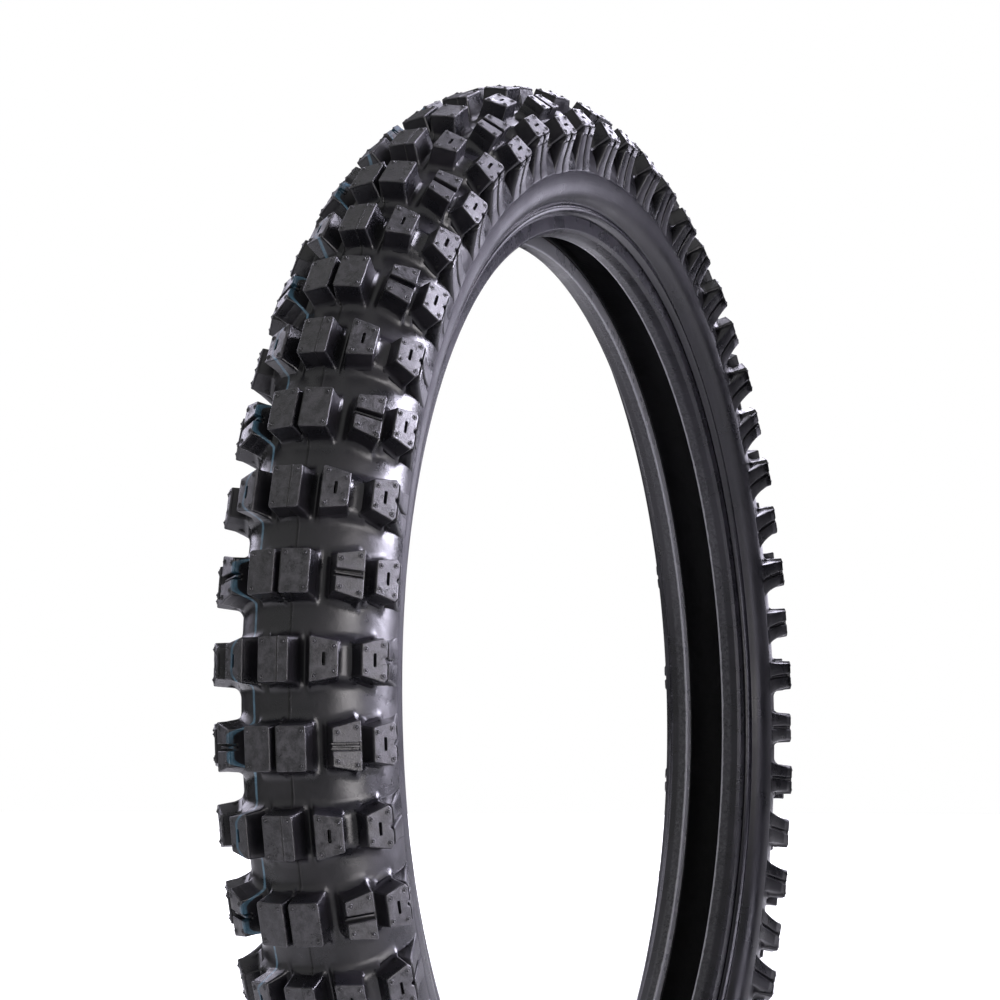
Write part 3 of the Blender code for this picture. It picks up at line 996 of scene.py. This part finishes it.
# ---------------------------------------------------------------- assembly


def attach(piece, slot_name, *nodes):
    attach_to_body(piece, "root")
    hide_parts(*nodes)
    return piece


def with_side(shape, side):
    """The template for the right side, or its mirror image for the left."""
    made = Shape()
    made.add_shape(shape, mirror=side == "left")
    return made


def build_tread():
    rubber = tread_look()
    even = range(0, ROWS, 2)
    odd = range(1, ROWS, 2)
    for side, sign in (("left", -1), ("right", 1)):
        attach(tread_base(f"tread_floor_{side}", sign, rubber), "tread", "tread")
    attach(repeat_row("knobs_centre", centre_knob(), even, rubber), "tread", "tread")
    pair = Shape()
    for side in ("left", "right"):
        pair.add_shape(with_side(pair_knob(), side))
    attach(repeat_row("knobs_centre_pairs", pair, odd, rubber), "tread", "tread")
    layout = {
        "knobs_slotted": (slotted_knob(), even),
        "knobs_split": (split_knob(), odd),
        "knobs_shoulder_five": (shoulder_knob(0), even),
        "knobs_shoulder_six": (shoulder_knob(1), odd),
        "fins_five": (fins(FIVE_FIN_PATH, FIVE_FIN_OUTER), even),
        "fins_six": (fins(SIX_FIN_PATH, SIX_FIN_OUTER), odd),
    }
    for name, (shape, rows) in layout.items():
        for side in ("left", "right"):
            piece = repeat_row(f"{name}_{side}", with_side(shape, side), rows, rubber)
            attach(piece, "tread", "tread")


def build_layers():
    """The layers that run across the tyre from bead to bead."""
    tan, brown = (0.20, 0.15, 0.10), (0.030, 0.027, 0.025)
    plies = cord_look("ply_cords", 1.0, tan, brown)
    crossed = cord_look("ply_cords_crossed", -1.0, tan, brown)
    soft = plain_rubber_look("cushion_rubber", (0.03, 0.028, 0.026), (0.06, 0.055, 0.05), 0.5)
    cushion_depth = UNDERTREAD + GAP + CUSHION / 2
    breaker_depth = UNDERTREAD + 2 * GAP + CUSHION + BREAKER / 2
    cushion = strip(both_sides(crown_line(cushion_depth)), CUSHION)
    breaker = strip(both_sides(crown_line(breaker_depth)[:-1]), BREAKER)
    outer_ply = strip(both_sides(outer_ply_line()), PLY)
    inner_ply = strip(both_sides(inner_ply_line()), PLY)
    liner = strip(both_sides(offset_line(body_line(), -(PLY / 2 + GAP + LINER / 2))), LINER)
    attach(revolve("cushion_layer", cushion, soft, HIDDEN_STEPS), "cushion", "tread_cushion")
    attach(revolve("breaker_layer", breaker, plies, HIDDEN_STEPS), "ply", "breaker_ply")
    attach(revolve("outer_ply_layer", outer_ply, crossed, HIDDEN_STEPS), "ply", "carcass_ply_outer")
    attach(revolve("inner_ply_layer", inner_ply, plies, HIDDEN_STEPS), "ply", "carcass_ply_inner")
    attach(revolve("liner_layer", liner, liner_look()), "liner", "inner_liner")


def build_sides():
    """The sidewalls, and what lies round each bead."""
    filler = plain_rubber_look("filler_rubber", (0.04, 0.037, 0.034), (0.08, 0.075, 0.07), 0.45)
    fabric = cord_look("wrap_fabric", 0.5, (0.09, 0.085, 0.08), (0.03, 0.03, 0.032))
    wire = wire_look()
    rings = {
        "sidewall": (sidewall_section(), sidewall_look(), "sidewall", RING_STEPS),
        "chafer": (chafer_section(), chafer_look(), "chafer", RING_STEPS),
        "bead_filler": (filler_outline(), filler, "filler", HIDDEN_STEPS),
        "bead_wrap": (strip(wrap_line(), WRAP), fabric, "bead_fabric", HIDDEN_STEPS),
    }
    top_r = BUNDLE_R + WIRE_STACK
    for side in ("left", "right"):
        sign = (-1, 1) if side == "left" else (1, 1)
        for name, (section, look, slot_name, steps) in rings.items():
            ring = revolve(f"{name}_ring_{side}", np.array(section) * sign, look, steps)
            attach(ring, slot_name, f"{name}_{side}")
        for number in range(WIRES):
            w = BUNDLE_W + number * (WIRE + GAP)
            corners = [(w, BUNDLE_R), (w + WIRE, BUNDLE_R), (w + WIRE, top_r), (w, top_r)]
            section = outline([(*corner, 0.25) for corner in corners], steps=2) * sign
            hoop = revolve(f"wire_hoop_{side}_{number + 1}", section, wire, HIDDEN_STEPS)
            attach(hoop, "wire", f"bead_wire_{side}_{number + 1}")


# ---------------------------------------------------------------- studio


def add_area_light(name, place, target, size, power, colour=VIOLET, spread=180.0):
    """A soft rectangular light. spread is the full angle of its beam in degrees."""
    data = bpy.data.lights.new(name, "AREA")
    data.shape = "RECTANGLE"
    data.size, data.size_y = size
    data.energy = power
    data.color = colour
    data.spread = math.radians(spread)
    light = bpy.data.objects.new(name, data)
    light.location = place
    light.rotation_euler = (Vector(target) - Vector(place)).to_track_quat("-Z", "Y").to_euler()
    bpy.context.scene.collection.objects.link(light)
    light.visible_camera = False


def build_world():
    """A surround that looks white. It lights the tyre from the front and above, and little from behind."""
    world = bpy.data.worlds.new("studio")
    bpy.context.scene.world = world
    world.use_nodes = True
    tree = world.node_tree
    background = tree.nodes["Background"]
    coords = tree.nodes.new("ShaderNodeTexCoord")
    aim = tree.nodes.new("ShaderNodeVectorMath")
    aim.operation = "DOT_PRODUCT"
    aim.inputs[1].default_value = (-0.55, 0.2, 0.8)
    tree.links.new(coords.outputs["Generated"], aim.inputs[0])
    ramp = tree.nodes.new("ShaderNodeMapRange")
    ramp.interpolation_type = "SMOOTHSTEP"
    for socket, value in zip(ramp.inputs[1:5], (-0.2, 0.9, 0.02, 0.62)):
        socket.default_value = value
    tree.links.new(aim.outputs["Value"], ramp.inputs[0])
    path = tree.nodes.new("ShaderNodeLightPath")
    strength = tree.nodes.new("ShaderNodeMix")
    strength.data_type = "FLOAT"
    tree.links.new(path.outputs["Is Camera Ray"], strength.inputs["Factor"])
    tree.links.new(ramp.outputs["Result"], strength.inputs["A"])
    strength.inputs["B"].default_value = 1.0
    background.inputs["Color"].default_value = (1.0, 1.0, 1.0, 1.0)
    tree.links.new(strength.outputs["Result"], background.inputs["Strength"])


def build_floor():
    """A pale floor. Away from the tyre it glows, so that it meets the white surround with no edge."""
    z = cad_box[0].z - FLOOR_DROP
    side = FLOOR_HALF_SIDE
    mesh = bpy.data.meshes.new("studio_floor")
    corners = [(-side, -side, z), (side, -side, z), (side, side, z), (-side, side, z)]
    mesh.from_pydata(corners, [], [(0, 1, 2, 3)])
    look = Look("studio_floor")
    shade = look.mix(look.noise(0.8, 2.0), (0.90, 0.90, 0.90), (0.94, 0.94, 0.94))
    away = look.distance(look.x, look.y)
    seen = look.tree.nodes.new("ShaderNodeLightPath").outputs["Is Camera Ray"]
    share = look.math("MULTIPLY_ADD", seen, 0.8, 0.2)
    glow = look.product(look.step(away, 0.45, 1.15, 0.0, 0.95), share)
    look.put(look.shader.inputs["Emission Strength"], glow)
    mesh.materials.append(look.finish(shade, 0.7, Emission_Color=(1.0, 1.0, 1.0, 1.0)))
    floor = bpy.data.objects.new("studio_floor", mesh)
    bpy.context.scene.collection.objects.link(floor)


def build_lights():
    middle = (0.0, 0.0, 0.1)
    add_area_light("back_softbox", (1.94, 0.0, 1.13), middle, (1.3, 1.2), 40.0)
    add_area_light("low_back_softbox", (1.9, -0.28, -0.02), middle, (0.8, 0.45), 3.4)
    add_area_light("side_strip", (0.25, -0.8, 0.5), (-0.3, 0.0, 0.22), (0.35, 1.3), 6.4, spread=46.0)
    add_area_light("front_softbox", (-1.1, -1.5, 0.15), (-0.6, 0.0, 0.0), (0.9, 1.6), 5.8, WARM, 60.0)
    add_area_light("low_side_strip", (-0.1, -1.5, -0.12), (0.25, 0.0, 0.0), (0.14, 1.0), 5.0)
    add_area_light("left_softbox", (0.8, 1.7, 0.7), (0.0, 0.0, 0.0), (1.2, 1.0), 14.0)


def build_camera():
    data = bpy.data.cameras.new("camera")
    data.lens = CAMERA_LENS
    data.sensor_width = 36.0
    data.shift_x, data.shift_y = CAMERA_SHIFT
    data.clip_start, data.clip_end = 0.05, 50.0
    camera = bpy.data.objects.new("camera", data)
    columns = [Vector(CAMERA_RIGHT), Vector(CAMERA_UP), -Vector(CAMERA_FORWARD)]
    turn = Matrix(columns).transposed().to_4x4()
    camera.matrix_world = Matrix.Translation(CAMERA_PLACE) @ turn
    bpy.context.scene.collection.objects.link(camera)
    bpy.context.scene.camera = camera


bpy.context.scene.view_settings.view_transform = "Standard"
build_camera()
build_world()
build_floor()
build_lights()
build_tread()
build_layers()
build_sides()

bpy.context.view_layer.update()
